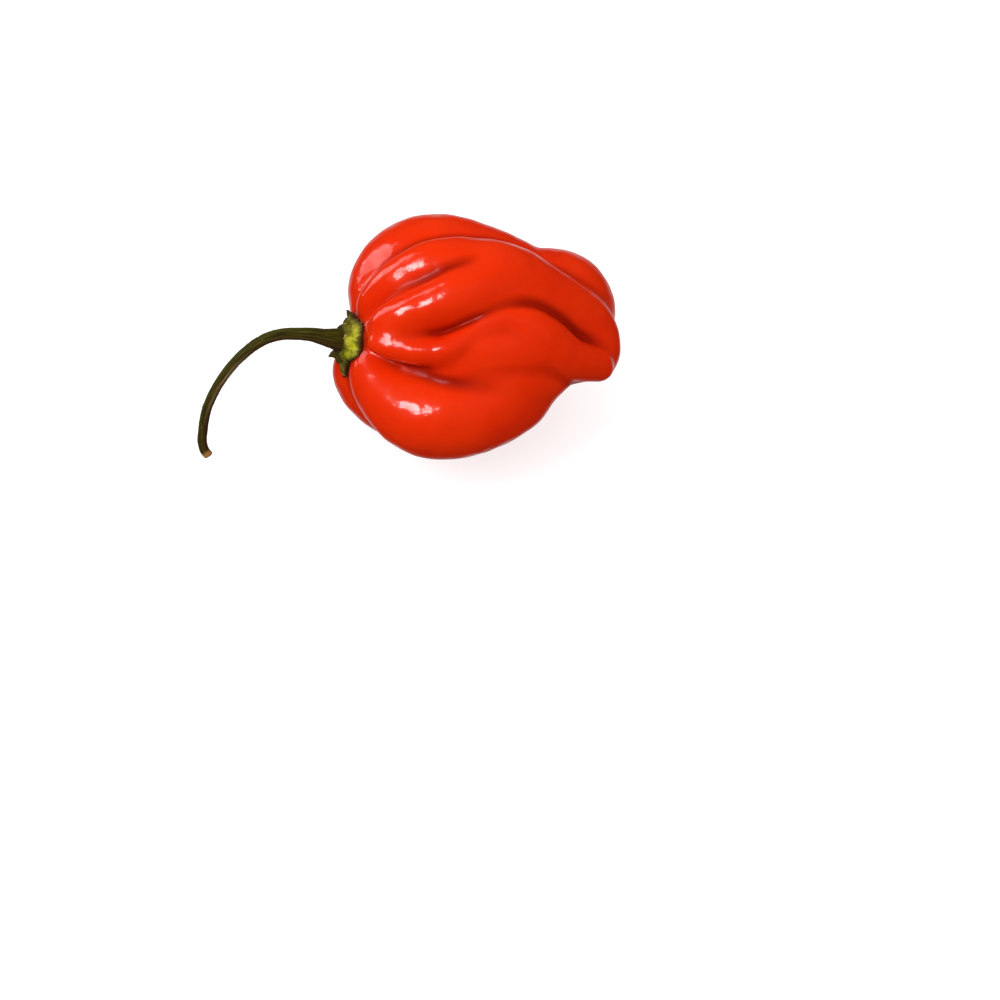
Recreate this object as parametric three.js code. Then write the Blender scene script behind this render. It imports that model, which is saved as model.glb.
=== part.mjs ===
// One fresh chilli pepper of the lantern kind, lying on its side on a table.
// Three grown pieces: a lobed red pod, the ragged green calyx that caps it, and a curved stalk.
// Millimetres, +Z up. The pod lies on z = 0, and its stalk end points along -X.

import * as THREE from 'three';

// Driving dimensions of the whole fruit.
// Shapes are drawn in the pod's own frame: x from stalk to tip, y up the seen side, z out of it.
const ROLL_DEG = 40; // the seen side leans back from upright by this much
const TABLE_DEPTH = 19.45; // from the pod's middle down to the table
const POD_PLACE = [5.0, 4.2]; // the pod's middle, from the middle of the flat spot it lies on

// Driving dimensions of the pod.
const BALLS_PER_LOBE = 22;
const SWELL = 14; // how much the balls of one lobe fatten each other
const BLEND_ALONG = 1.0; // per mm: how sharply the balls of one lobe run together
const BLEND_ACROSS = 1.8; // per mm: how sharply one lobe meets the next
const POD_COLUMNS = 76;
const POD_ROWS = 46;
const POD_REACH = 34; // further from the middle than any skin
const WALK_STEPS = 60;
const LONGEST_STEP = 4;

// Driving dimensions of the calyx.
const CALYX_SEAT = new THREE.Vector3(-21.2, -1.2, 2.0);
const CALYX_AXIS = new THREE.Vector3(-0.9, 0.09, 0.42).normalize();
const CALYX_RIM = 4.3; // radius between the teeth
const CALYX_EDGE = 0.8; // thickness at the rim
const CALYX_HUB = 2.0; // radius of the hub that carries the stalk
const CALYX_RISE = 2.6; // how far the hub stands above the edge
const CALYX_TOP = 3.0; // the hub's flat top, above the seat
const CALYX_OUTSIDE = 12; // above the seat, clear of all skin
const TOOTH_ROOT = 3.4; // radius where the teeth begin to curl
const CALYX_SECTORS = 48;
const CALYX_RINGS = 6;
const RIB_HEIGHT = 0.22;
const RIB_COUNT = 5;
const CLEARANCE = 0.35; // between one piece and the next

// Driving dimensions of the stalk.
const STEM_SIDES = 12;
const STEM_STEPS = 34;
const STEM_RIBS = 5;
const STEM_RIB_DEPTH = 0.06; // share of the radius

// Each lobe is a string of balls through these points: x, y, z and the ball's radius.
const LOBES = {
  core: [[-13, 0, 1, 6.5], [-6, 0, -1, 10.5], [3, 0, -1, 10.5], [11, 0, -2, 8]],
  neck: [[-13, -0.5, 0, 5], [-17.4, -1.1, 0.6, 3.6]],
  crown: [
    [-17.6, 3.2, -0.5, 3.4], [-14.2, 8, -4.4, 7], [-11.6, 10.4, -4.6, 8.3],
    [-6.5, 12.2, -4.4, 8.7], [2, 10.2, -4, 8], [9, 7.9, -5, 6.4],
  ],
  crown_tip: [[9, 5, -5, 6.6], [13.5, 5.1, -6, 8.5], [14.8, 4, -6, 7.9]],
  crown_back: [[-8, 8, -8, 6], [0, 8, -9, 7.2], [7, 6, -9.5, 7.6], [13, 3.5, -8.5, 6.6]],
  upper_ridge: [
    [-18.9, 4.8, 3.6, 1.5], [-16.3, 7.3, 5.4, 2], [-12.7, 9.9, 6.7, 2.8], [-8.1, 11.9, 7.9, 3.3],
    [-3, 12.4, 7.8, 3.7], [2.2, 11.2, 6.8, 4.1],
  ],
  shoulder: [
    [2, 8.2, 6, 7.6], [5, 7.5, 6.2, 7.2], [11, 5.8, 5, 5.9], [17, 3.9, 3, 4.1],
    [20.4, 1.2, 1, 3.3], [21.5, -2.2, 1, 2.8], [21.2, -4.8, 1.4, 2.6],
  ],
  upper_saddle: [
    [-13.5, 5.4, 7.2, 1.4], [-9.5, 7.6, 8.1, 1.6], [-5.5, 9.2, 8.6, 1.8], [-1, 9.8, 8.4, 2.2],
  ],
  middle_ridge: [
    [-16.7, 1.8, 8.8, 1.8], [-12.8, 2.9, 11.1, 2.2], [-9.6, 4.1, 11.2, 2.6], [-5, 5.6, 12, 3.4],
    [-1, 7.2, 11.6, 3.8], [4, 8, 9.8, 4.4],
  ],
  saddle: [
    [-16.8, 0.2, 7.8, 1.4], [-14.6, 0.1, 9.8, 1.5], [-12, 0, 10.2, 1.6], [-9, 0.2, 9.8, 1.6],
    [-6, 0.8, 9.2, 1.4],
  ],
  long_fold: [
    [-17.2, -1.8, 10.5, 1.6], [-13, -2.8, 11.4, 1.7], [-9, -3.2, 12.6, 1.9],
    [-4.5, -2.8, 13.7, 1.8], [-0.8, -0.2, 13.7, 1.4], [3, 2.2, 13.5, 1.3], [7, 2.5, 13, 1.8],
    [11, 0.2, 12, 3.2], [16, -4.1, 9, 3.4], [21.8, -5.7, 5, 2.7],
  ],
  fold_body: [
    [-4, -4.8, 8.2, 4.4], [-0.5, -3.8, 8.1, 5.2], [3.5, -2.3, 8.4, 5.5], [8, -1.8, 8.3, 5.3],
    [12, -2.6, 7.8, 4.6],
  ],
  tip: [[8, -3, 3, 7], [15, -2.8, 1.4, 4], [20.3, -3.4, 1.2, 2.6]],
  belly: [
    [-18.6, -4.6, 3.4, 2.6], [-16.4, -8.8, 3.6, 4.6], [-11, -13.3, 6, 6.3], [-5, -14.4, 7.4, 6.8],
    [1, -13.2, 7.6, 6.2], [5.8, -11.7, 6.6, 5.2], [9, -9.6, 5.4, 4.1],
  ],
  belly_top: [
    [-11, -6.2, 5.2, 3.8], [-7, -7, 5.5, 4.5], [-3, -7.8, 6.8, 5.1], [1, -8.2, 7.6, 5.3],
    [5, -8, 7.6, 5.3], [9, -7.4, 7.2, 5], [14, -5.2, 6, 3.6],
  ],
  belly_under: [[-12, -10, 0.5, 5.6], [-5, -12, 1, 6.4], [1, -11, 1, 6.2], [6, -9, 0.5, 5.6]],
  under_lobe: [
    [-19.4, -3.4, -0.5, 3.2], [-19, -6.5, -5, 5.6], [-12.8, -10.4, -6, 7.5],
    [-4, -10.6, -6.4, 7.5], [3, -9, -6.5, 7.1], [9, -5.5, -7, 6], [15, -2, -5, 5],
  ],
  back_lobe: [
    [-17.6, 0, -3.5, 4], [-14.5, 0, -8.5, 6.4], [-7, -0.5, -11, 8.2], [2, -1, -12.4, 9.1],
    [9, -1, -11, 7.8], [15, 0, -7, 5.5],
  ],
};

// Teeth of the calyx: direction round its axis in degrees, reach past the rim, half width in degrees,
// and how steeply the tooth curls away from the pod.
const TEETH = [
  [30, 0.5, 20, 0], [97, 2.3, 14, 0.2], [150, 0.8, 16, 0.5],
  [225, 0.7, 18, 0.5], [268, 1.1, 19, 0.6], [320, 0.4, 18, 0],
];

// The stalk's middle line, from its root at the calyx to its cut end, with its radius.
const STEM_ROOT = CALYX_SEAT.clone().addScaledVector(CALYX_AXIS, CALYX_TOP + CLEARANCE);
const STEM_PATH = [
  [...STEM_ROOT.toArray(), 2.05], [-26.3, -0.5, 4.4, 1.5], [-29.2, 0, 5.3, 1.16],
  [-34.3, -0.1, 5.6, 1.02], [-38.7, -2, 5, 0.96], [-43.4, -6.4, 3, 0.88],
  [-46.9, -12.2, 0, 0.84], [-48.1, -17.6, -2.9, 0.82], [-47.9, -19.8, -3.7, 0.84],
  [-46.95, -21.2, -3.9, 0.88],
];

// Curves through control points

function curveThrough(points) {
  return new THREE.CatmullRomCurve3(points, false, 'catmullrom', 0.5);
}

function pathOf(points) {
  return curveThrough(points.map(([x, y, z]) => new THREE.Vector3(x, y, z)));
}

function girthOf(points) {
  return curveThrough(points.map((point) => new THREE.Vector3(point[3], 0, 0)));
}

// The pod's skin

function ballsAlong(points) {
  const path = pathOf(points);
  const girth = girthOf(points);
  return Array.from({ length: BALLS_PER_LOBE }, (_, i) => {
    const t = i / (BALLS_PER_LOBE - 1);
    return { centre: path.getPoint(t), radius: girth.getPoint(t).x };
  });
}

const LOBE_BALLS = Object.values(LOBES).map(ballsAlong);

// About how far a point is from the skin: the balls run together softly, more so within a lobe.
function skinDistance(point) {
  let total = 0;
  for (const balls of LOBE_BALLS) {
    let lobe = 0;
    for (const { centre, radius } of balls) {
      lobe += Math.exp(-BLEND_ALONG * (point.distanceTo(centre) - radius));
    }
    const swollen = (SWELL * lobe) / balls.length;
    total += swollen ** (BLEND_ACROSS / BLEND_ALONG);
  }
  return -Math.log(total) / BLEND_ACROSS;
}

// Walk from a point outside along a direction, until the skin is as near as the clearance asks.
function walkToSkin(start, direction, clearance) {
  const point = start.clone();
  for (let step = 0; step < WALK_STEPS; step += 1) {
    const gap = skinDistance(point) - clearance;
    point.addScaledVector(direction, Math.min(gap, LONGEST_STEP));
  }
  return point;
}

// Flatten what would sink into the table.
function settle(point) {
  const roll = THREE.MathUtils.degToRad(ROLL_DEG);
  const up = new THREE.Vector3(0, Math.sin(roll), Math.cos(roll));
  const height = TABLE_DEPTH + point.dot(up);
  return height < 0 ? point.addScaledVector(up, -height) : point;
}

// A closed body from rings of points, with one point closing each end.
function closedBody(startPoint, rings, endPoint) {
  const sides = rings[0].length;
  const points = [startPoint, ...rings.flat(), endPoint];
  const last = points.length - 1;
  const at = (ring, side) => 1 + ring * sides + (side % sides);
  const faces = [];
  for (let side = 0; side < sides; side += 1) {
    faces.push(0, at(0, side + 1), at(0, side));
    faces.push(last, at(rings.length - 1, side), at(rings.length - 1, side + 1));
  }
  for (let ring = 0; ring + 1 < rings.length; ring += 1) {
    for (let side = 0; side < sides; side += 1) {
      faces.push(at(ring, side), at(ring, side + 1), at(ring + 1, side));
      faces.push(at(ring, side + 1), at(ring + 1, side + 1), at(ring + 1, side));
    }
  }
  const geometry = new THREE.BufferGeometry().setFromPoints(points);
  geometry.setIndex(faces);
  geometry.computeVertexNormals();
  return geometry;
}

// Two directions square to an axis, the first lying as near to +z as can be.
function frameAbout(axis) {
  const across = new THREE.Vector3(0, 0, 1).addScaledVector(axis, -axis.z).normalize();
  const up = new THREE.Vector3().crossVectors(across, axis);
  return { across, up };
}

function directionRound(axis, angle) {
  const { across, up } = frameAbout(axis);
  return across.multiplyScalar(Math.cos(angle)).addScaledVector(up, Math.sin(angle));
}

function podGeometry() {
  const pole = CALYX_AXIS;
  const skinToward = (direction) => {
    const start = direction.clone().multiplyScalar(POD_REACH);
    return settle(walkToSkin(start, direction.clone().negate(), 0));
  };
  const rings = [];
  for (let row = 1; row < POD_ROWS; row += 1) {
    const fromPole = (Math.PI * row) / POD_ROWS;
    const ring = [];
    for (let column = 0; column < POD_COLUMNS; column += 1) {
      const around = directionRound(pole, (2 * Math.PI * column) / POD_COLUMNS);
      const direction = around.multiplyScalar(Math.sin(fromPole)).addScaledVector(pole, Math.cos(fromPole));
      ring.push(skinToward(direction));
    }
    rings.push(ring);
  }
  return closedBody(skinToward(pole), rings, skinToward(pole.clone().negate()));
}

// The calyx, draped over the end of the pod

// How much of a tooth there is at an angle round the axis, from 0 to 1.
function toothShare(angle, [towards, , halfWidth]) {
  const turn = THREE.MathUtils.radToDeg(angle) - towards;
  const away = THREE.MathUtils.euclideanModulo(turn + 180, 360) - 180;
  return Math.exp(-((away / halfWidth) ** 2));
}

function rimRadius(angle) {
  return TEETH.reduce((radius, tooth) => radius + tooth[1] * toothShare(angle, tooth), CALYX_RIM);
}

// How far the teeth curl up off the pod.
function toothLift(radius, angle) {
  const past = Math.max(radius - TOOTH_ROOT, 0);
  return TEETH.reduce((lift, tooth) => lift + tooth[3] * past * toothShare(angle, tooth), 0);
}

// Heights of the calyx above its seat, at one place across it.
function calyxHeights(radius, angle) {
  const start = calyxPoint(radius, angle, CALYX_OUTSIDE);
  const touch = walkToSkin(start, CALYX_AXIS.clone().negate(), CLEARANCE);
  const under = touch.sub(CALYX_SEAT).dot(CALYX_AXIS) + toothLift(radius, angle);
  const outward = THREE.MathUtils.clamp((radius - CALYX_HUB) / (CALYX_RIM - CALYX_HUB), 0, 1);
  const rib = RIB_HEIGHT * Math.cos(RIB_COUNT * angle) * outward;
  const over = under + CALYX_EDGE + CALYX_RISE * (1 - outward) ** 2 + rib;
  return { under, over: Math.min(over, CALYX_TOP) };
}

function calyxPoint(radius, angle, height) {
  const point = directionRound(CALYX_AXIS, angle).multiplyScalar(radius).add(CALYX_SEAT);
  return point.addScaledVector(CALYX_AXIS, height);
}

function calyxGeometry() {
  const angles = Array.from({ length: CALYX_SECTORS }, (_, i) => (2 * Math.PI * i) / CALYX_SECTORS);
  const shares = Array.from({ length: CALYX_RINGS }, (_, i) => (i + 1) / CALYX_RINGS);
  const ringAt = (share, face) => angles.map((angle) => {
    const radius = share * rimRadius(angle);
    return calyxPoint(radius, angle, calyxHeights(radius, angle)[face]);
  });
  const outer = shares.map((share) => ringAt(share, 'over'));
  const inner = shares.map((share) => ringAt(share, 'under')).reverse();
  const topPoint = calyxPoint(0, 0, calyxHeights(0, 0).over);
  const seatPoint = calyxPoint(0, 0, calyxHeights(0, 0).under);
  return closedBody(topPoint, [...outer, ...inner], seatPoint);
}

// The stalk, a ribbed rod that tapers and bends along its path

function stemGeometry() {
  const path = pathOf(STEM_PATH);
  const girth = girthOf(STEM_PATH);
  const { normals, binormals } = path.computeFrenetFrames(STEM_STEPS, false);
  const rings = normals.map((normal, step) => {
    const t = path.getUtoTmapping(step / STEM_STEPS);
    const middle = path.getPoint(t);
    return Array.from({ length: STEM_SIDES }, (_, side) => {
      const angle = (2 * Math.PI * side) / STEM_SIDES;
      const radius = girth.getPoint(t).x * (1 + STEM_RIB_DEPTH * Math.cos(STEM_RIBS * angle));
      const spoke = normal.clone().multiplyScalar(Math.cos(angle));
      spoke.addScaledVector(binormals[step], Math.sin(angle));
      return spoke.multiplyScalar(radius).add(middle);
    });
  });
  return closedBody(path.getPoint(0), rings, path.getPoint(1));
}

// Colours and the finished fruit

function skin(color, roughness) {
  return new THREE.MeshStandardMaterial({ color, roughness, metalness: 0 });
}

function piece(name, geometry, material) {
  const mesh = new THREE.Mesh(geometry, material);
  mesh.name = name;
  return mesh;
}

const lying = new THREE.Group();
lying.rotation.x = THREE.MathUtils.degToRad(ROLL_DEG);
lying.position.set(POD_PLACE[0], POD_PLACE[1], TABLE_DEPTH);
lying.add(piece('pod', podGeometry(), skin('#e52c06', 0.22)));
lying.add(piece('calyx', calyxGeometry(), skin('#7f7a1e', 0.6)));
lying.add(piece('stem', stemGeometry(), skin('#4a3f12', 0.65)));

const pepper = new THREE.Group();
pepper.add(lying);

export default pepper;
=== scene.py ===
"""One fresh chilli pepper of the lantern kind on a white table, with its light and camera."""

import math

import bpy
import numpy as np
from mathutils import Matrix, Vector, noise


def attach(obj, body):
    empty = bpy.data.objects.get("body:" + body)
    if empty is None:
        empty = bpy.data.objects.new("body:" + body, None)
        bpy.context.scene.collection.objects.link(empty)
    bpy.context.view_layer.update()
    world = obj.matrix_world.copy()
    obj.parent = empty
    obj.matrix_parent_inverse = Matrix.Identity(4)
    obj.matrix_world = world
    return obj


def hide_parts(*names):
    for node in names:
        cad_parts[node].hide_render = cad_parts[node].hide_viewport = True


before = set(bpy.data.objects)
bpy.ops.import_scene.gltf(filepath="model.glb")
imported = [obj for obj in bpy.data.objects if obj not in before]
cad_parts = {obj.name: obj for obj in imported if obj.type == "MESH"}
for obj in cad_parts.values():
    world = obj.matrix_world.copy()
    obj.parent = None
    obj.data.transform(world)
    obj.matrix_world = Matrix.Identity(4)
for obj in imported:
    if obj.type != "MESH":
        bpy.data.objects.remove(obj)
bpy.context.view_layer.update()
MM = 0.001

# Where the fruit lies, in millimetres. Shapes are drawn in the pod's own frame:
# x from stalk to tip, y up the seen side, z out of it.
ROLL = math.radians(40)
TABLE_DEPTH = 19.45
POD_PLACE = (5.0, 4.2)

# How the lobes run together: how much balls fatten each other, and how sharply they meet, per millimetre.
BALLS_PER_LOBE = 22
SWELL = 14
BLEND_ALONG = 1.0
BLEND_ACROSS = 1.8

# Fineness of the meshes.
POD_COLUMNS = 340
POD_ROWS = 230
CALYX_SECTORS = 180
CALYX_RINGS = 26
STEM_SIDES = 40
STEM_STEPS = 260

# How the skin is found: a walk in from outside the pod, its steps, and how near the skin it ends.
POD_REACH = 34.0  # further from the pod's middle than any skin
WALK_STEPS = 60
LONGEST_STEP = 4.0
WALK_END = 0.002
TINY = 1e-12  # keeps a length from being zero

# Small unevenness, in layers of height, size and seed. Heights and sizes are in millimetres,
# but sizes along the calyx's rim are shares of its radius.
SEED_SHIFT = (17.3, 5.1, 9.7)
POD_RELIEF = [(0.16, 6.5, 1), (0.09, 2.6, 2), (0.02, 1.2, 7)]
RIM_TEARS = [(0.30, 0.33, 3), (0.45, 0.12, 4)]
CALYX_FOLDS = [(0.22, 1.2, 5)]
CALYX_GRAIN = [(0.10, 0.45, 6)]
STEM_KNOTS = [(0.05, 1.6, 8), (0.03, 0.6, 9)]

# Furrows are found between neighbours this many columns away, and their painted shade is darkest at this
# depth.
FURROW_COLUMNS = 8
FURROW_DEPTH = 0.8

# Each lobe is a string of balls through these points: x, y, z and the ball's radius.
LOBES = {
    "core": [(-13, 0, 1, 6.5), (-6, 0, -1, 10.5), (3, 0, -1, 10.5), (11, 0, -2, 8)],
    "neck": [(-13, -0.5, 0, 5), (-17.4, -1.1, 0.6, 3.6)],
    "crown": [
        (-17.6, 3.2, -0.5, 3.4), (-14.2, 8, -4.4, 7), (-11.6, 10.4, -4.6, 8.3),
        (-6.5, 12.2, -4.4, 8.7), (2, 10.2, -4, 8), (9, 7.9, -5, 6.4),
    ],
    "crown_tip": [(9, 5, -5, 6.6), (13.5, 5.1, -6, 8.5), (14.8, 4, -6, 7.9)],
    "crown_back": [(-8, 8, -8, 6), (0, 8, -9, 7.2), (7, 6, -9.5, 7.6), (13, 3.5, -8.5, 6.6)],
    "upper_ridge": [
        (-18.9, 4.8, 3.6, 1.5), (-16.3, 7.3, 5.4, 2), (-12.7, 9.9, 6.7, 2.8),
        (-8.1, 11.9, 7.9, 3.3), (-3, 12.4, 7.8, 3.7), (2.2, 11.2, 6.8, 4.1),
    ],
    "shoulder": [
        (2, 8.2, 6, 7.6), (5, 7.5, 6.2, 7.2), (11, 5.8, 5, 5.9), (17, 3.9, 3, 4.1),
        (20.4, 1.2, 1, 3.3), (21.5, -2.2, 1, 2.8), (21.2, -4.8, 1.4, 2.6),
    ],
    "upper_saddle": [
        (-13.5, 5.4, 7.2, 1.4), (-9.5, 7.6, 8.1, 1.6), (-5.5, 9.2, 8.6, 1.8), (-1, 9.8, 8.4, 2.2),
    ],
    "middle_ridge": [
        (-16.7, 1.8, 8.8, 1.8), (-12.8, 2.9, 11.1, 2.2), (-9.6, 4.1, 11.2, 2.6),
        (-5, 5.6, 12, 3.4), (-1, 7.2, 11.6, 3.8), (4, 8, 9.8, 4.4),
    ],
    "saddle": [
        (-16.8, 0.2, 7.8, 1.4), (-14.6, 0.1, 9.8, 1.5), (-12, 0, 10.2, 1.6), (-9, 0.2, 9.8, 1.6),
        (-6, 0.8, 9.2, 1.4),
    ],
    "long_fold": [
        (-17.2, -1.8, 10.5, 1.6), (-13, -2.8, 11.4, 1.7), (-9, -3.2, 12.6, 1.9),
        (-4.5, -2.8, 13.7, 1.8), (-0.8, -0.2, 13.7, 1.4), (3, 2.2, 13.5, 1.3), (7, 2.5, 13, 1.8),
        (11, 0.2, 12, 3.2), (16, -4.1, 9, 3.4), (21.8, -5.7, 5, 2.7),
    ],
    "fold_body": [
        (-4, -4.8, 8.2, 4.4), (-0.5, -3.8, 8.1, 5.2), (3.5, -2.3, 8.4, 5.5), (8, -1.8, 8.3, 5.3),
        (12, -2.6, 7.8, 4.6),
    ],
    "tip": [(8, -3, 3, 7), (15, -2.8, 1.4, 4), (20.3, -3.4, 1.2, 2.6)],
    "belly": [
        (-18.6, -4.6, 3.4, 2.6), (-16.4, -8.8, 3.6, 4.6), (-11, -13.3, 6, 6.3),
        (-5, -14.4, 7.4, 6.8), (1, -13.2, 7.6, 6.2), (5.8, -11.7, 6.6, 5.2), (9, -9.6, 5.4, 4.1),
    ],
    "belly_top": [
        (-11, -6.2, 5.2, 3.8), (-7, -7, 5.5, 4.5), (-3, -7.8, 6.8, 5.1), (1, -8.2, 7.6, 5.3),
        (5, -8, 7.6, 5.3), (9, -7.4, 7.2, 5), (14, -5.2, 6, 3.6),
    ],
    "belly_under": [(-12, -10, 0.5, 5.6), (-5, -12, 1, 6.4), (1, -11, 1, 6.2), (6, -9, 0.5, 5.6)],
    "under_lobe": [
        (-19.4, -3.4, -0.5, 3.2), (-19, -6.5, -5, 5.6), (-12.8, -10.4, -6, 7.5),
        (-4, -10.6, -6.4, 7.5), (3, -9, -6.5, 7.1), (9, -5.5, -7, 6), (15, -2, -5, 5),
    ],
    "back_lobe": [
        (-17.6, 0, -3.5, 4), (-14.5, 0, -8.5, 6.4), (-7, -0.5, -11, 8.2), (2, -1, -12.4, 9.1),
        (9, -1, -11, 7.8), (15, 0, -7, 5.5),
    ],
}

# The calyx, round its own axis.
CALYX_SEAT = np.array([-21.2, -1.2, 2.0])
CALYX_LEAN = np.array([-0.9, 0.09, 0.42])
CALYX_AXIS = CALYX_LEAN / np.linalg.norm(CALYX_LEAN)
CALYX_RIM = 4.3  # radius between the teeth
CALYX_EDGE = 0.8  # thickness near the rim
EDGE_THINNING = 0.45  # share of that thickness lost at the rim
EDGE_SHARPNESS = 6  # how late the thinning sets in
CALYX_HUB = 2.0  # radius of the hub that carries the stalk
CALYX_RISE = 2.6  # how far the hub stands above the edge
CALYX_TOP = 3.0  # the hub's flat top, above the seat
CALYX_OUTSIDE = 12.0  # above the seat, clear of all skin
CALYX_CLEARANCE = 0.04  # between the calyx and the pod
CALYX_SHADE = 0.9  # half width of the painted shadow round the calyx
TOOTH_ROOT = 3.4  # radius where the teeth begin to curl
RIB_HEIGHT = 0.22
RIB_COUNT = 5
# The part of the calyx painted lighter lime as painted light, on the side that faces the viewer: its side and
# half width in degrees round the axis, and its middle and half width as shares of the way out to the rim.
LIT_SIDE_TOWARDS = 5
LIT_SIDE_WIDTH = 55
LIT_SIDE_SHARE = 0.78
LIT_SIDE_SPREAD = 0.20
# Teeth: direction round the axis in degrees, reach past the rim, half width in degrees, and how steeply
# the tooth curls away from the pod.
TEETH = [
    (30, 0.5, 20, 0), (97, 2.3, 14, 0.2), (150, 0.8, 16, 0.5),
    (225, 0.7, 18, 0.5), (268, 1.1, 19, 0.6), (320, 0.4, 18, 0),
]

# The stalk's middle line from inside the calyx to its cut end, with its radius.
STEM_SUNK = 0.5
STEM_ROOT = CALYX_SEAT + CALYX_AXIS * (CALYX_TOP - STEM_SUNK)
STEM_PATH = [
    (*STEM_ROOT, 2.1), (-26.3, -0.5, 4.4, 1.5), (-29.2, 0, 5.3, 1.16),
    (-34.3, -0.1, 5.6, 1.02), (-38.7, -2, 5, 0.96), (-43.4, -6.4, 3, 0.88),
    (-46.9, -12.2, 0, 0.84), (-48.1, -17.6, -2.9, 0.82), (-47.9, -19.8, -3.7, 0.84),
    (-46.95, -21.2, -3.9, 0.88),
]
STEM_RIBS = 5
STEM_RIB_DEPTH = 0.06  # share of the radius
STEM_TIP_ROUND = 0.5  # length over which the cut end is rounded
STEM_TIP_FLAT = 0.6  # share of the radius left at the very end
# A pale scar along the stalk: its middle and half length from the root, its side and half width.
SCAR_PLACE = 25.0
SCAR_LENGTH = 5.0
SCAR_TOWARDS = 225
SCAR_WIDTH = 22
# The browned side of the stalk, inside its bend.
BROWN_TOWARDS = 195
BROWN_WIDTH = 50

# The camera: its angle above the table, the photograph's pixel that shows the pod's middle, the pod's
# length in millimetres and in pixels, which give the size of a pixel, and a long lens.
VIEW_ELEVATION_DEG = 50
POD_PIXEL = (475.5, 335.5)
FRAME_PIXELS = 1000
POD_LENGTH = 50
POD_LENGTH_PIXELS = 285
PIXEL = POD_LENGTH / POD_LENGTH_PIXELS
LENS = 200
SENSOR = 36

# The stage, in metres.
FLOOR_SIZE = 6.0
LIGHT_DISTANCE = 0.8
RIM_LIGHT_FROM = 0.72  # how straight behind the fruit the rim light starts, as a cosine
HORIZON_BLUR = 0.4  # how softly the light from above fades into the light from below


# Curves and fields

def spline(points, count):
    """Samples of a smooth curve through control points, in every column, as many on each stretch."""
    p = np.array(points, float)
    ends = np.vstack([2 * p[0] - p[1], p, 2 * p[-1] - p[-2]])
    t = np.linspace(0, len(p) - 1, count)
    i = np.minimum(t.astype(int), len(p) - 2)
    f = (t - i)[:, None]
    a, b, c, d = ends[i], ends[i + 1], ends[i + 2], ends[i + 3]
    bend = 2 * a - 5 * b + 4 * c - d
    twist = 3 * b - a - 3 * c + d
    return b + 0.5 * ((c - a) * f + bend * f**2 + twist * f**3)


LOBE_BALLS = [spline(points, BALLS_PER_LOBE) for points in LOBES.values()]


def skin_distance(points):
    """About how far points are from the skin: balls run together softly, more so within a lobe."""
    total = 0.0
    for balls in LOBE_BALLS:
        away = np.linalg.norm(points[:, None, :] - balls[None, :, :3], axis=2) - balls[:, 3]
        swollen = SWELL * np.exp(-BLEND_ALONG * away).mean(1)
        total = total + swollen ** (BLEND_ACROSS / BLEND_ALONG)
    return -np.log(total) / BLEND_ACROSS


def walk_to_skin(starts, directions, clearance):
    """Walk from outside along directions, until the skin is as near as the clearance asks."""
    points = starts.copy()
    walking = np.arange(len(points))
    for _ in range(WALK_STEPS):
        gap = skin_distance(points[walking]) - clearance
        points[walking] += directions[walking] * np.minimum(gap, LONGEST_STEP)[:, None]
        walking = walking[np.abs(gap) > WALK_END]
    return points


def to_table(points):
    """The pod's own frame, in millimetres, to the table's, in metres."""
    x, y, z = points[..., 0], points[..., 1], points[..., 2]
    c, s = math.cos(ROLL), math.sin(ROLL)
    placed = [x + POD_PLACE[0], y * c - z * s + POD_PLACE[1], y * s + z * c + TABLE_DEPTH]
    return np.stack(placed, -1) * MM


def directions_round(axis, angles):
    """Directions square to an axis, counted from the one nearest to +z."""
    across = np.array([0, 0, 1.0]) - axis * axis[2]
    across /= np.linalg.norm(across)
    up = np.cross(across, axis)
    return np.cos(angles)[..., None] * across + np.sin(angles)[..., None] * up


def lumps(points, size, seed):
    """Soft random relief from -1 to 1, at a given size."""
    shift = Vector([seed * step for step in SEED_SHIFT])
    values = [noise.noise(Vector(p) / size + shift) for p in points.reshape(-1, 3)]
    return np.array(values).reshape(points.shape[:-1])


def relief(points, layers):
    """Several layers of lumps, added up."""
    return sum(height * lumps(points, size, seed) for height, size, seed in layers)


def bell(values, middle, half_width):
    """From 1 at the middle down to 0 well away from it."""
    return np.exp(-(((values - middle) / half_width) ** 2))


def circle_angles(count):
    return 2 * np.pi * np.arange(count) / count


def grid_normals(grid):
    """Outward normals of a closed grid of rows and columns."""
    down = np.gradient(grid, axis=0)
    round_ = np.roll(grid, -1, 1) - np.roll(grid, 1, 1)
    normals = np.cross(down, round_)
    normals /= np.maximum(np.linalg.norm(normals, axis=2, keepdims=True), TINY)
    outward = np.sign(((grid - grid.mean((0, 1))) * normals).sum(2).mean())
    return normals * outward


# Meshes

def closed_mesh(name, start, grid, end):
    """A closed body from rings of points, with one point closing each end."""
    rings, sides = grid.shape[:2]
    vertices = np.vstack([start[None], grid.reshape(-1, 3), end[None]])
    last = len(vertices) - 1
    index = 1 + np.arange(rings * sides).reshape(rings, sides)
    beside = np.roll(index, -1, 1)
    first = [(0, b, a) for a, b in zip(index[0].tolist(), beside[0].tolist())]
    quads = np.stack([index[:-1], beside[:-1], beside[1:], index[1:]], -1).reshape(-1, 4).tolist()
    final = [(last, a, b) for a, b in zip(index[-1].tolist(), beside[-1].tolist())]
    mesh = bpy.data.meshes.new(name)
    mesh.from_pydata(vertices.tolist(), [], first + quads + final)
    mesh.shade_smooth()
    mesh.update()
    return mesh


def add_values(mesh, name, start, grid, end):
    """A value for every point of a closed mesh, which its material reads by name."""
    layer = mesh.attributes.new(name, "FLOAT", "POINT")
    values = np.concatenate([[start], np.asarray(grid).ravel(), [end]])
    layer.data.foreach_set("value", values.astype(np.float32))


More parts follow.
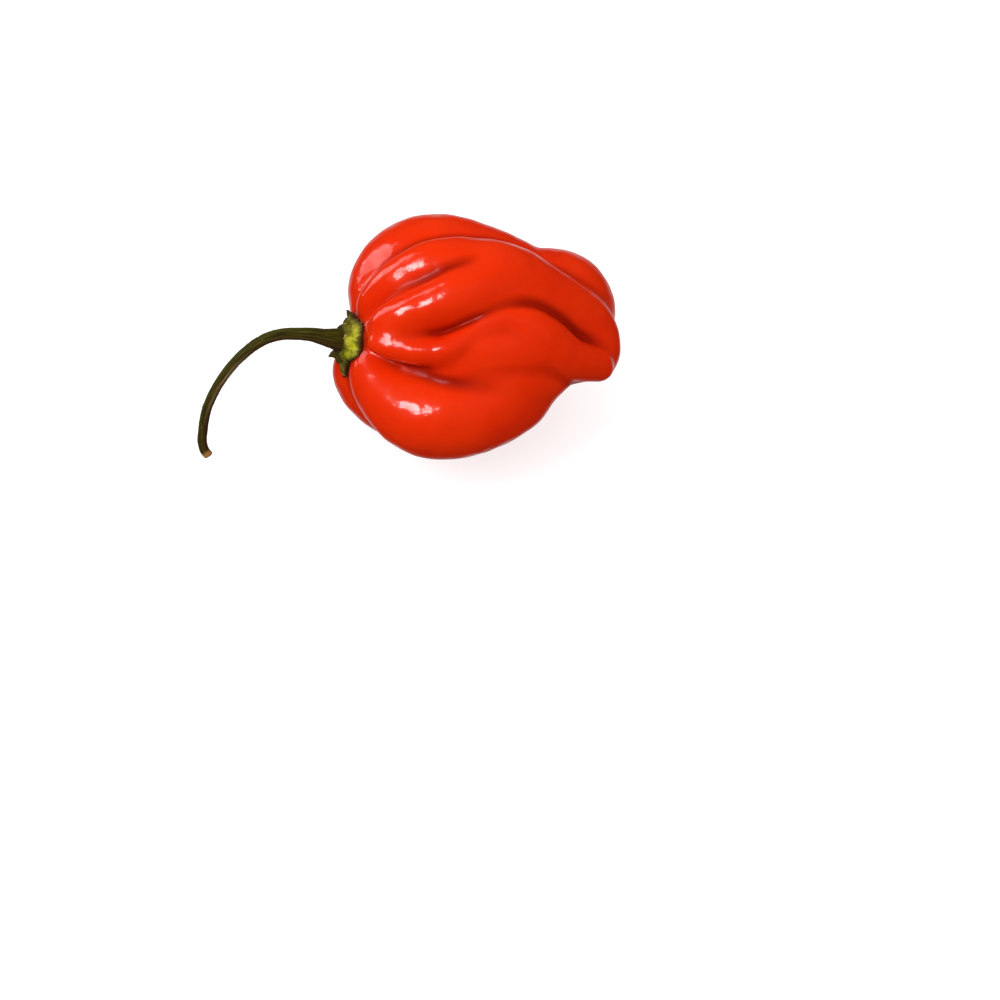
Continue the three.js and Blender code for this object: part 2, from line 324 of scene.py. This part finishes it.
def add_vectors(mesh, name, start, grid, end):
    """Three numbers for every point of a closed mesh, which its material reads by name."""
    layer = mesh.attributes.new(name, "FLOAT_VECTOR", "POINT")
    values = np.vstack([[start], np.asarray(grid).reshape(-1, 3), [end]])
    layer.data.foreach_set("vector", values.astype(np.float32).ravel())


def add_piece(name, mesh, material, node):
    """A piece that stands for a solid of the frame."""
    piece = bpy.data.objects.new(name, mesh)
    bpy.context.scene.collection.objects.link(piece)
    mesh.materials.append(material)
    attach(piece, "root")
    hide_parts(node)


def pod_mesh():
    """The lobed pod, walked in from all round, with slight unevenness and flat spots on the table."""
    from_pole = np.pi * np.arange(1, POD_ROWS) / POD_ROWS
    sideways = directions_round(CALYX_AXIS, circle_angles(POD_COLUMNS))[None]
    grid_way = np.sin(from_pole)[:, None, None] * sideways + np.cos(from_pole)[:, None, None] * CALYX_AXIS
    ways = np.vstack([CALYX_AXIS[None], grid_way.reshape(-1, 3), -CALYX_AXIS[None]])
    skin = walk_to_skin(ways * POD_REACH, -ways, 0.0)
    grid = skin[1:-1].reshape(POD_ROWS - 1, POD_COLUMNS, 3)
    normals = grid_normals(grid)
    hollow = grid_hollow(grid, normals)
    grid = grid + normals * relief(grid, POD_RELIEF)[..., None]
    placed = to_table(grid)
    placed[..., 2] = np.maximum(placed[..., 2], 0.0)
    mesh = closed_mesh("pod", to_table(skin[0]), placed, to_table(skin[-1]))
    add_values(mesh, "furrow", 0.0, hollow, 0.0)
    add_values(mesh, "calyx_shadow_band", 0.0, by_calyx(grid), 0.0)
    return mesh


def by_calyx(points):
    """From 0 on open skin to 1 in the painted shadow round the calyx."""
    away = points - CALYX_SEAT
    height = away @ CALYX_AXIS
    radius = np.linalg.norm(away - height[..., None] * CALYX_AXIS, axis=-1)
    return bell(radius, CALYX_RIM, CALYX_SHADE) * (height > -CALYX_RIM)


def grid_hollow(grid, normals):
    """From 0 on open skin to 1 in the deepest furrows, which sets how much painted shade they get."""
    beside = np.roll(grid, FURROW_COLUMNS, 1) + np.roll(grid, -FURROW_COLUMNS, 1)
    depth = ((beside / 2 - grid) * normals).sum(2)
    return np.clip(depth / FURROW_DEPTH, 0, 1)


def facing_share(angles, towards, half_width):
    """How much angles round an axis face a direction, given in degrees, from 0 to 1."""
    away = (np.degrees(angles) - towards + 180) % 360 - 180
    return bell(away, 0, half_width)


def rim_radius(angles):
    """The calyx's torn outline."""
    radius = np.full_like(angles, CALYX_RIM)
    for towards, reach, half_width, _ in TEETH:
        radius = radius + reach * facing_share(angles, towards, half_width)
    circle = np.stack([np.cos(angles), np.sin(angles), np.zeros_like(angles)], -1)
    return radius + relief(circle, RIM_TEARS)


def tooth_lift(radius, angles):
    """How far the teeth curl up off the pod."""
    past = np.maximum(radius - TOOTH_ROOT, 0)
    return sum(curl * past * facing_share(angles, towards, width)[None] for towards, _, width, curl in TEETH)


def drape_heights(foot):
    """Heights above the seat at which the calyx lies on the pod: at its middle, and at points round it."""
    starts = np.vstack([CALYX_SEAT[None], foot.reshape(-1, 3)]) + CALYX_AXIS * CALYX_OUTSIDE
    touch = walk_to_skin(starts, np.tile(-CALYX_AXIS, (len(starts), 1)), CALYX_CLEARANCE)
    heights = (touch - CALYX_SEAT) @ CALYX_AXIS
    return heights[0], heights[1:].reshape(foot.shape[:-1])


def calyx_thickness(foot, radius, shares, angles):
    """Thin at the torn rim, thick at the hub, with ribs and folds between."""
    outward = np.clip((radius - CALYX_HUB) / (CALYX_RIM - CALYX_HUB), 0, 1)
    edge = CALYX_EDGE * (1 - EDGE_THINNING * shares**EDGE_SHARPNESS)
    rib = RIB_HEIGHT * np.cos(RIB_COUNT * angles)[None] * outward
    uneven = relief(foot, CALYX_FOLDS) * outward + relief(foot, CALYX_GRAIN)
    return edge + CALYX_RISE * (1 - outward) ** 2 + rib + uneven


def calyx_mesh():
    """The calyx, draped over the end of the pod, with ribs running out to its teeth."""
    angles = circle_angles(CALYX_SECTORS)
    shares = (np.arange(1, CALYX_RINGS + 1) / CALYX_RINGS)[:, None]
    radius = shares * rim_radius(angles)[None]
    foot = CALYX_SEAT + radius[..., None] * directions_round(CALYX_AXIS, angles)[None]
    seat_height, heights = drape_heights(foot)
    under = heights + tooth_lift(radius, angles)
    over = np.minimum(under + calyx_thickness(foot, radius, shares, angles), CALYX_TOP)
    outer = foot + over[..., None] * CALYX_AXIS
    inner = foot + under[..., None] * CALYX_AXIS
    top = CALYX_SEAT + CALYX_AXIS * CALYX_TOP
    seat = CALYX_SEAT + CALYX_AXIS * seat_height
    grid = np.concatenate([outer, inner[::-1]])
    mesh = closed_mesh("calyx", to_table(top), to_table(grid), to_table(seat))
    rim = np.broadcast_to(shares, radius.shape)
    add_values(mesh, "rim", 0.0, np.concatenate([rim, rim[::-1]]), 0.0)
    # Where the calyx gets painted light: lighter lime on its side facing the viewer.
    lit_side_facing = facing_share(angles, LIT_SIDE_TOWARDS, LIT_SIDE_WIDTH)[None]
    painted_lit_side = lit_side_facing * bell(shares, LIT_SIDE_SHARE, LIT_SIDE_SPREAD)
    add_values(mesh, "painted_lit_side", 0.0, np.concatenate([painted_lit_side, painted_lit_side[::-1]]), 0.0)
    return mesh


def path_frames(path):
    """Two directions square to a path at each of its points, which turn as little as they can."""
    tangents = np.gradient(path, axis=0)
    tangents /= np.linalg.norm(tangents, axis=1, keepdims=True)
    side = np.cross(tangents[0], [0, 0, 1.0])
    sides = []
    for tangent in tangents:
        side = side - tangent * (side @ tangent)
        side = side / np.linalg.norm(side)
        sides.append(side)
    sides = np.array(sides)
    return sides, np.cross(tangents, sides)


def stem_mesh():
    """The stalk, a ribbed and knotted rod that tapers and bends, with a dry cut end."""
    line = spline(STEM_PATH, STEM_STEPS)
    path, girth = line[:, :3], line[:, 3]
    sides, ups = path_frames(path)
    angles = circle_angles(STEM_SIDES)
    spokes = np.cos(angles)[None, :, None] * sides[:, None] + np.sin(angles)[None, :, None] * ups[:, None]
    ribs = 1 + STEM_RIB_DEPTH * np.cos(STEM_RIBS * angles)[None]
    radius = girth[:, None] * ribs
    smooth = path[:, None] + spokes * radius[..., None]
    step = np.linalg.norm(np.diff(path, axis=0), axis=1)
    along = np.concatenate([[0], np.cumsum(step)])
    radius = radius * tip_rounding(along)[:, None] + relief(smooth, STEM_KNOTS)
    grid = path[:, None] + spokes * radius[..., None]
    mesh = closed_mesh("stem", to_table(path[0]), to_table(grid), to_table(path[-1]))
    add_stem_marks(mesh, angles, along)
    return mesh


def tip_rounding(along):
    """Share of the radius kept along the stalk: all of it, but less close to the cut end."""
    inward = np.clip((along[-1] - along) / STEM_TIP_ROUND, 0, 1)
    return STEM_TIP_FLAT + (1 - STEM_TIP_FLAT) * np.sqrt(inward * (2 - inward))


def add_stem_marks(mesh, angles, along):
    """What the stalk's material reads: the way along it, its grain, scar, browned side and cut end."""
    share = np.repeat((along / along[-1])[:, None], STEM_SIDES, 1)
    add_values(mesh, "along", 0.0, share, 1.0)
    turn = np.stack(np.broadcast_arrays(np.cos(angles)[None], np.sin(angles)[None], along[:, None]), -1)
    add_vectors(mesh, "grain", (0, 0, 0), turn, (0, 0, along[-1]))
    streak = bell(along, SCAR_PLACE, SCAR_LENGTH)[:, None]
    scar = streak * facing_share(angles, SCAR_TOWARDS, SCAR_WIDTH)[None]
    add_values(mesh, "scar", 0.0, scar, 0.0)
    brown = np.broadcast_to(facing_share(angles, BROWN_TOWARDS, BROWN_WIDTH)[None], scar.shape)
    add_values(mesh, "brown", 0.0, brown, 0.0)
    add_values(mesh, "cut", 0.0, np.zeros_like(scar), 1.0)


# Materials

class Paint:
    """A material's nodes, made and linked in few words."""

    def __init__(self, name):
        self.material = bpy.data.materials.new(name)
        self.material.use_nodes = True
        self.tree = self.material.node_tree
        self.shader = self.tree.nodes["Principled BSDF"]

    def node(self, kind, inputs=None, **settings):
        made = self.tree.nodes.new(kind)
        for key, value in settings.items():
            setattr(made, key, value)
        for key, value in (inputs or {}).items():
            self.put(made.inputs[key], value)
        return made

    def put(self, socket, value):
        """Set a socket to a number or colour, or link it to another socket."""
        if isinstance(value, bpy.types.NodeSocket):
            self.tree.links.new(value, socket)
        else:
            socket.default_value = value

    def set(self, **values):
        for key, value in values.items():
            self.put(self.shader.inputs[key.replace("_", " ")], value)

    def place(self):
        """Positions on the piece, in metres."""
        return self.node("ShaderNodeTexCoord").outputs["Object"]

    def value_of(self, name):
        return self.node("ShaderNodeAttribute", attribute_name=name).outputs["Fac"]

    def vector_of(self, name):
        return self.node("ShaderNodeAttribute", attribute_name=name).outputs["Vector"]

    def speckle(self, vector, scale, detail=3.0, roughness=0.5):
        inputs = {"Vector": vector, "Scale": scale, "Detail": detail, "Roughness": roughness}
        return self.node("ShaderNodeTexNoise", inputs).outputs["Fac"]

    def ramp(self, factor, stops):
        """Numbers or colours between stops of (place, value)."""
        made = self.node("ShaderNodeValToRGB", {"Fac": factor})
        elements = made.color_ramp.elements
        while len(elements) < len(stops):
            elements.new(0.5)
        for element, (place, value) in zip(elements, stops):
            element.position = place
            element.color = value if isinstance(value, tuple) else (value, value, value, 1)
        return made.outputs["Color"]

    def mix(self, factor, first, second, blend="MIX"):
        made = self.node("ShaderNodeMix", data_type="RGBA", blend_type=blend)
        sockets = [s for s in made.inputs if s.enabled]
        for socket, value in zip(sockets, (factor, first, second)):
            self.put(socket, value)
        return next(s for s in made.outputs if s.enabled)

    def times(self, first, second):
        return self.mix(1.0, first, second, "MULTIPLY")

    def bump(self, height, strength, distance):
        inputs = {"Height": height, "Strength": strength, "Distance": distance}
        return self.node("ShaderNodeBump", inputs).outputs["Normal"]


def rgb(red, green, blue):
    return (red, green, blue, 1.0)


def pod_paint():
    """Taut waxy red skin under a thin sharp gloss, faintly uneven, with painted shade in its furrows and a
    painted shadow round the calyx.
    """
    paint = Paint("pod_skin")
    place = paint.place()
    # Painted shade: the skin is darkened towards a dark red in the furrows, more the deeper they are.
    furrow_shade_red, calyx_shadow_red = rgb(0.36, 0.008, 0.0004), rgb(0.30, 0.012, 0.0010)
    shades = [(0.35, rgb(0.80, 0.024, 0.0008)), (0.68, rgb(0.86, 0.031, 0.0010))]
    ripe = paint.ramp(paint.speckle(place, 90, 2), shades)
    furrow = paint.value_of("furrow")
    # Painted shadow: a band of skin round the calyx is darkened towards a dark brownish red.
    colour = paint.mix(paint.value_of("calyx_shadow_band"), paint.mix(furrow, ripe, furrow_shade_red), calyx_shadow_red)
    wax = paint.ramp(paint.speckle(place, 380, 2), [(0.40, 0.36), (0.60, 0.70)])
    open_wax = paint.times(wax, paint.ramp(furrow, [(0.06, 1.0), (0.36, 0.10)]))
    patchy = paint.ramp(paint.speckle(place, 80, 1), [(0.40, 0.40), (0.60, 1.0)])
    dents = paint.times(paint.speckle(place, 560, 2), patchy)
    paint.set(
        Base_Color=colour,
        Roughness=paint.ramp(paint.speckle(place, 260, 3), [(0.3, 0.30), (0.7, 0.38)]),
        Specular_IOR_Level=0.02,
        Subsurface_Weight=0.10,
        Subsurface_Radius=(1.0, 0.25, 0.12),
        Subsurface_Scale=0.0012,
        Coat_Weight=open_wax,
        Coat_Roughness=0.12,
        Coat_IOR=1.4,
        Coat_Normal=paint.bump(dents, 1.0, 0.00017),
    )
    return paint.material


def calyx_paint():
    """Fleshy green, with a painted highlight of lighter lime on the side facing the viewer, dark round the
    stalk, browned and dry towards the torn rim.
    """
    paint = Paint("calyx_green")
    place = paint.place()
    hub_green, edge_brown, dot_tan = rgb(0.044, 0.032, 0.004), rgb(0.058, 0.030, 0.007), rgb(0.50, 0.36, 0.12)
    patches = paint.speckle(place, 800, 4, 0.6)
    olive = [(0.36, rgb(0.034, 0.025, 0.001)), (0.52, rgb(0.08, 0.065, 0.003)), (0.68, rgb(0.2, 0.18, 0.01))]
    lime = [(0.36, rgb(0.20, 0.20, 0.005)), (0.52, rgb(0.52, 0.52, 0.012)), (0.68, rgb(0.68, 0.62, 0.08))]
    # Painted highlight: lighter lime on the side of the calyx facing the viewer.
    painted_lit_side = paint.mix(paint.value_of("painted_lit_side"), paint.ramp(patches, olive), paint.ramp(patches, lime))
    rim = paint.value_of("rim")
    hub = paint.ramp(rim, [(0.52, 0.92), (0.68, 0.0)])
    green = paint.mix(hub, painted_lit_side, hub_green)
    edge = paint.ramp(rim, [(0.86, 0.0), (0.98, 0.9)])
    browned = paint.mix(edge, green, edge_brown)
    dots = paint.ramp(paint.speckle(place, 1300, 1), [(0.68, 0.0), (0.74, 0.8)])
    paint.set(
        Base_Color=paint.mix(dots, browned, dot_tan),
        Roughness=paint.ramp(patches, [(0.3, 0.66), (0.7, 0.46)]),
        Specular_IOR_Level=0.05,
        Subsurface_Weight=0.05,
        Subsurface_Radius=(0.6, 0.6, 0.1),
        Subsurface_Scale=0.0008,
        Normal=paint.bump(paint.speckle(place, 1500, 4, 0.6), 0.6, 0.0002),
    )
    return paint.material


def stem_paint():
    """Dull olive with streaks along it, brown inside its bend, a pale scar, and a dry tan cut end."""
    paint = Paint("stem_green")
    place = paint.place()
    grain = paint.node("ShaderNodeMapping", {"Vector": paint.vector_of("grain"), "Scale": (1.8, 1.8, 0.10)})
    streaks = paint.speckle(grain.outputs["Vector"], 2.4, 5, 0.6)
    dark, middle, pale = rgb(0.016, 0.012, 0.001), rgb(0.046, 0.038, 0.002), rgb(0.098, 0.090, 0.010)
    bend_brown, spot_tan, scar_tan = rgb(0.052, 0.022, 0.008), rgb(0.17, 0.105, 0.045), rgb(0.34, 0.22, 0.10)
    end_tan, pith_cream = rgb(0.36, 0.17, 0.050), rgb(0.62, 0.40, 0.16)
    green = paint.ramp(streaks, [(0.34, dark), (0.50, middle), (0.68, pale)])
    inside = paint.mix(paint.value_of("brown"), green, bend_brown)
    spots = paint.ramp(paint.speckle(place, 620, 2), [(0.70, 0.0), (0.76, 0.6)])
    spotted = paint.mix(spots, inside, spot_tan)
    torn = paint.times(paint.value_of("scar"), paint.ramp(streaks, [(0.40, 0.0), (0.60, 1.0)]))
    scarred = paint.mix(torn, spotted, scar_tan)
    dry = paint.ramp(paint.value_of("along"), [(0.970, 0.0), (0.988, 1.0)])
    dried = paint.mix(dry, scarred, end_tan)
    pith = paint.ramp(paint.value_of("cut"), [(0.25, 0.0), (0.55, 1.0)])
    paint.set(
        Base_Color=paint.mix(pith, dried, pith_cream),
        Roughness=paint.ramp(streaks, [(0.3, 0.75), (0.7, 0.55)]),
        Specular_IOR_Level=0.04,
        Normal=paint.bump(streaks, 0.7, 0.0002),
    )
    return paint.material


def floor_paint():
    """A plain white table top that glows a little, as a lit table does."""
    paint = Paint("table")
    faint = paint.speckle(paint.place(), 3, 2)
    paint.set(
        Base_Color=paint.ramp(faint, [(0.3, rgb(0.50, 0.50, 0.50)), (0.7, rgb(0.52, 0.52, 0.52))]),
        Roughness=0.8,
        Specular_IOR_Level=0.0,
        Emission_Color=rgb(1, 1, 1),
        Emission_Strength=0.72,
    )
    return paint.material


# Stage

def add_floor():
    """A wide table top that neither shows in the gloss nor lights the fruit from below."""
    bpy.ops.mesh.primitive_plane_add(size=FLOOR_SIZE, location=(0, 0, 0))
    floor = bpy.context.object
    floor.name = "table"
    floor.data.materials.append(floor_paint())
    floor.visible_glossy = False
    floor.visible_diffuse = False


def compass(azimuth, elevation):
    """Unit direction from the fruit: azimuth 0 is towards the viewer's side, 90 to the right."""
    a, e = math.radians(azimuth), math.radians(elevation)
    return Vector((math.sin(a) * math.cos(e), -math.cos(a) * math.cos(e), math.sin(e)))


def add_softbox(name, azimuth, elevation, size, power, lights=True, shines=True):
    """A soft light that faces the fruit. It lights the skin, shines in its gloss, or both."""
    light = bpy.data.lights.new(name, "AREA")
    light.shape = "RECTANGLE"
    light.size, light.size_y = size
    light.energy = power
    box = bpy.data.objects.new(name, light)
    bpy.context.scene.collection.objects.link(box)
    way = compass(azimuth, elevation)
    box.location = Vector(to_table(np.zeros(3))) + way * LIGHT_DISTANCE
    box.rotation_euler = way.to_track_quat("Z", "Y").to_euler()
    box.visible_diffuse = lights
    box.visible_glossy = shines


def add_world(above, below, in_rims):
    """White light from all round, weaker from below. In the gloss it shows only behind the fruit."""
    world = bpy.data.worlds.new("tent")
    bpy.context.scene.world = world
    world.use_nodes = True
    tree = world.node_tree
    place = tree.nodes.new("ShaderNodeTexCoord").outputs["Generated"]
    height = world_range(tree, place, (0, 0, 1), (-HORIZON_BLUR, HORIZON_BLUR), (below, above))
    behind = -compass(0, VIEW_ELEVATION_DEG)
    rims = world_range(tree, place, behind, (RIM_LIGHT_FROM, 1), (0, in_rims))
    chosen = tree.nodes.new("ShaderNodeMix")
    path = tree.nodes.new("ShaderNodeLightPath")
    tree.links.new(path.outputs["Is Glossy Ray"], chosen.inputs["Factor"])
    tree.links.new(height, chosen.inputs["A"])
    tree.links.new(rims, chosen.inputs["B"])
    background = tree.nodes["Background"]
    background.inputs["Color"].default_value = (1, 1, 1, 1)
    tree.links.new(chosen.outputs["Result"], background.inputs["Strength"])


def world_range(tree, place, towards, cosines, values):
    """A value that changes with how far a direction points towards another."""
    facing = tree.nodes.new("ShaderNodeVectorMath")
    facing.operation = "DOT_PRODUCT"
    facing.inputs[1].default_value = towards
    tree.links.new(place, facing.inputs[0])
    spread = tree.nodes.new("ShaderNodeMapRange")
    spread.inputs["From Min"].default_value, spread.inputs["From Max"].default_value = cosines
    spread.inputs["To Min"].default_value, spread.inputs["To Max"].default_value = values
    tree.links.new(facing.outputs["Value"], spread.inputs["Value"])
    return spread.outputs["Result"]


def add_camera():
    """Looks at the photograph's middle, from its angle, with its scale."""
    half = FRAME_PIXELS / 2
    aim = np.array([(half - POD_PIXEL[0]) * PIXEL, (POD_PIXEL[1] - half) * PIXEL, 0.0])
    back = compass(0, VIEW_ELEVATION_DEG)
    lens = bpy.data.cameras.new("camera")
    lens.lens = LENS
    lens.sensor_width = SENSOR
    camera = bpy.data.objects.new("camera", lens)
    bpy.context.scene.collection.objects.link(camera)
    distance = LENS / SENSOR * FRAME_PIXELS * PIXEL * MM
    camera.location = Vector(to_table(aim)) + back * distance
    camera.rotation_euler = back.to_track_quat("Z", "Y").to_euler()
    bpy.context.scene.camera = camera


add_piece("pepper_pod", pod_mesh(), pod_paint(), "pod")
add_piece("pepper_calyx", calyx_mesh(), calyx_paint(), "calyx")
add_piece("pepper_stem", stem_mesh(), stem_paint(), "stem")

add_floor()
add_world(above=0.48, below=0.38, in_rims=0.85)
add_softbox("key", azimuth=-72, elevation=46, size=(0.6, 0.5), power=3.6, shines=False)
add_softbox("fill", azimuth=34, elevation=60, size=(0.9, 0.9), power=1.9, shines=False)
add_softbox("back", azimuth=170, elevation=35, size=(0.8, 0.5), power=1.0, shines=False)
add_softbox("key_gloss", azimuth=-66, elevation=46, size=(0.34, 0.25), power=8.0, lights=False)
add_softbox("left_gloss", azimuth=-120, elevation=20, size=(0.30, 0.7), power=4.0, lights=False)
add_camera()
bpy.context.scene.view_settings.view_transform = "Standard"
